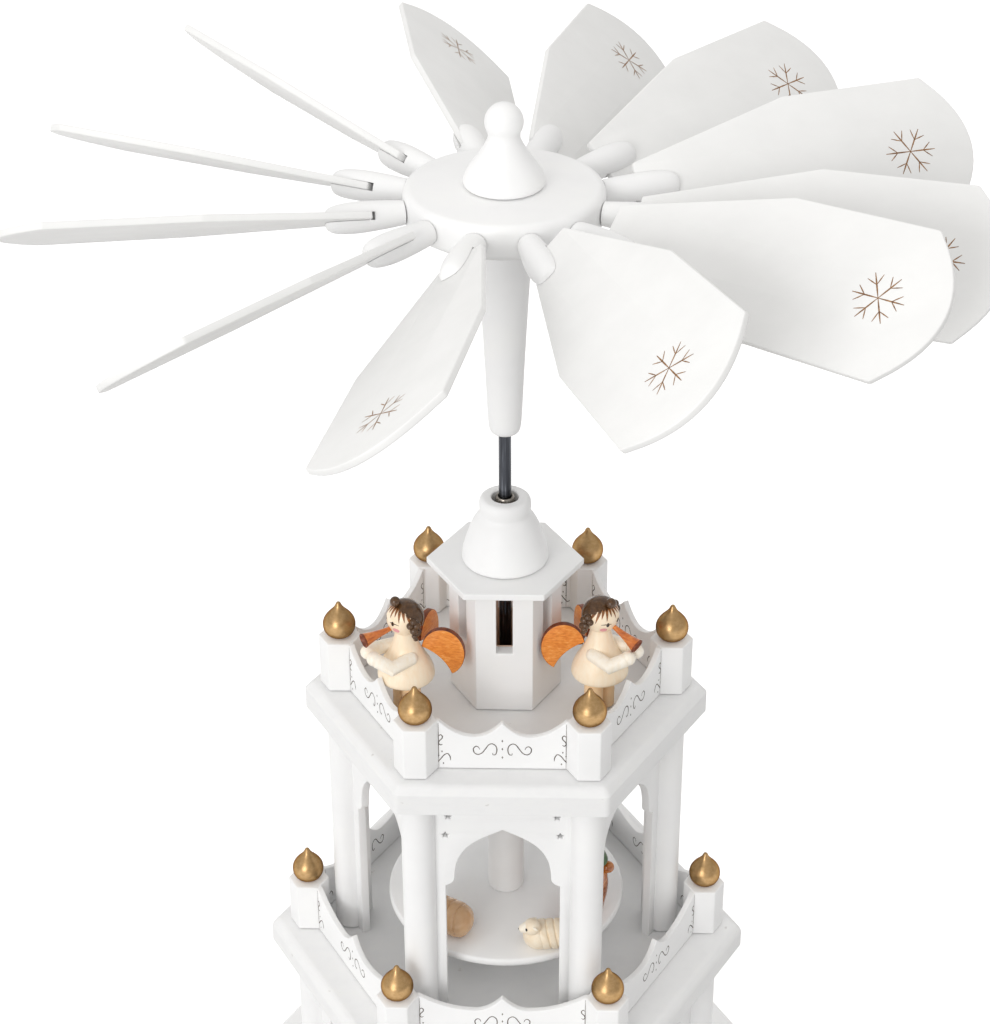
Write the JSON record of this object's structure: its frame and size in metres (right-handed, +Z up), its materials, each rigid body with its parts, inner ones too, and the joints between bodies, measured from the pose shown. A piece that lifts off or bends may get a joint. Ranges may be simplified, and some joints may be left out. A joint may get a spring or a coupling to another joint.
{
  "type": "christmas pyramid",
  "caption": "Hexagonal wooden christmas pyramid with arcaded storeys, galleries, turntables with figures and a bladed rotor that rising warm air turns on a steel shaft.",
  "frame": {"origin": "centre of the base plate's underside, on the shaft's axis", "axes": "+Z up along the shaft, +X through a corner of the hexagon, -Y through the middle of the side that the picture shows"},
  "size_m": [0.2833, 0.2872, 0.4228],
  "materials": {
    "white_paint": "satin",
    "gold_paint": "metallic",
    "figure_wood": "satin",
    "brown_wood": "satin",
    "steel": "polished",
    "brass": "polished"
  },
  "bodies": {
    "stand": {"base_plate": "white_paint", "foot_bearing": "brass", "lower_arcade": "white_paint", "middle_floor": "white_paint", "middle_balustrade": "white_paint", "middle_finial_1": "gold_paint", "middle_finial_2": "gold_paint", "middle_finial_3": "gold_paint", "middle_finial_4": "gold_paint", "middle_finial_5": "gold_paint", "middle_finial_6": "gold_paint", "upper_arcade": "white_paint", "top_floor": "white_paint", "top_balustrade": "white_paint", "top_finial_1": "gold_paint", "top_finial_2": "gold_paint", "top_finial_3": "gold_paint", "top_finial_4": "gold_paint", "top_finial_5": "gold_paint", "top_finial_6": "gold_paint", "lantern_house": "white_paint", "roof_plate": "white_paint", "roof_dome": "white_paint", "roof_bush": "brass", "angel_1": "figure_wood", "angel_2": "figure_wood", "angel_3": "figure_wood"},
    "rotor": {"shaft": "steel", "lower_turntable": "white_paint", "upper_turntable": "white_paint", "sheep_1": "figure_wood", "sheep_2": "brown_wood", "shepherd": "brown_wood", "rotor_sleeve": "white_paint", "rotor_hub": "white_paint", "rotor_cap": "white_paint"},
    "paddle_01": {"blade_holder_01": "white_paint", "blade_01": "white_paint"},
    "paddle_02": {"blade_holder_02": "white_paint", "blade_02": "white_paint"},
    "paddle_03": {"blade_holder_03": "white_paint", "blade_03": "white_paint"},
    "paddle_04": {"blade_holder_04": "white_paint", "blade_04": "white_paint"},
    "paddle_05": {"blade_holder_05": "white_paint", "blade_05": "white_paint"},
    "paddle_06": {"blade_holder_06": "white_paint", "blade_06": "white_paint"},
    "paddle_07": {"blade_holder_07": "white_paint", "blade_07": "white_paint"},
    "paddle_08": {"blade_holder_08": "white_paint", "blade_08": "white_paint"},
    "paddle_09": {"blade_holder_09": "white_paint", "blade_09": "white_paint"},
    "paddle_10": {"blade_holder_10": "white_paint", "blade_10": "white_paint"},
    "paddle_11": {"blade_holder_11": "white_paint", "blade_11": "white_paint"},
    "paddle_12": {"blade_holder_12": "white_paint", "blade_12": "white_paint"}
  },
  "joints": [
    {"name": "rotor_turn", "type": "hinge", "parent": "stand", "child": "rotor", "pos_m": [0, 0, 0.3], "axis": [0, 0, 1], "continuous": true},
    {"name": "blade_01_pitch", "type": "hinge", "parent": "rotor", "child": "paddle_01", "pos_m": [0.00518, -0.01932, 0.392], "axis": [0.2588, -0.9659, 0], "range_deg": [-25, 25]},
    {"name": "blade_02_pitch", "type": "hinge", "parent": "rotor", "child": "paddle_02", "pos_m": [0.01414, -0.01414, 0.392], "axis": [0.7071, -0.7071, 0], "range_deg": [-25, 25]},
    {"name": "blade_03_pitch", "type": "hinge", "parent": "rotor", "child": "paddle_03", "pos_m": [0.01932, -0.00518, 0.392], "axis": [0.9659, -0.2588, 0], "range_deg": [-25, 25]},
    {"name": "blade_04_pitch", "type": "hinge", "parent": "rotor", "child": "paddle_04", "pos_m": [0.01932, 0.00518, 0.392], "axis": [0.9659, 0.2588, 0], "range_deg": [-25, 25]},
    {"name": "blade_05_pitch", "type": "hinge", "parent": "rotor", "child": "paddle_05", "pos_m": [0.01414, 0.01414, 0.392], "axis": [0.7071, 0.7071, 0], "range_deg": [-25, 25]},
    {"name": "blade_06_pitch", "type": "hinge", "parent": "rotor", "child": "paddle_06", "pos_m": [0.00518, 0.01932, 0.392], "axis": [0.2588, 0.9659, 0], "range_deg": [-25, 25]},
    {"name": "blade_07_pitch", "type": "hinge", "parent": "rotor", "child": "paddle_07", "pos_m": [-0.00518, 0.01932, 0.392], "axis": [-0.2588, 0.9659, 0], "range_deg": [-25, 25]},
    {"name": "blade_08_pitch", "type": "hinge", "parent": "rotor", "child": "paddle_08", "pos_m": [-0.01414, 0.01414, 0.392], "axis": [-0.7071, 0.7071, 0], "range_deg": [-25, 25]},
    {"name": "blade_09_pitch", "type": "hinge", "parent": "rotor", "child": "paddle_09", "pos_m": [-0.01932, 0.00518, 0.392], "axis": [-0.9659, 0.2588, 0], "range_deg": [-25, 25]},
    {"name": "blade_10_pitch", "type": "hinge", "parent": "rotor", "child": "paddle_10", "pos_m": [-0.01932, -0.00518, 0.392], "axis": [-0.9659, -0.2588, 0], "range_deg": [-25, 25]},
    {"name": "blade_11_pitch", "type": "hinge", "parent": "rotor", "child": "paddle_11", "pos_m": [-0.01414, -0.01414, 0.392], "axis": [-0.7071, -0.7071, 0], "range_deg": [-25, 25]},
    {"name": "blade_12_pitch", "type": "hinge", "parent": "rotor", "child": "paddle_12", "pos_m": [-0.00518, -0.01932, 0.392], "axis": [-0.2588, -0.9659, 0], "range_deg": [-25, 25]}
  ]
}
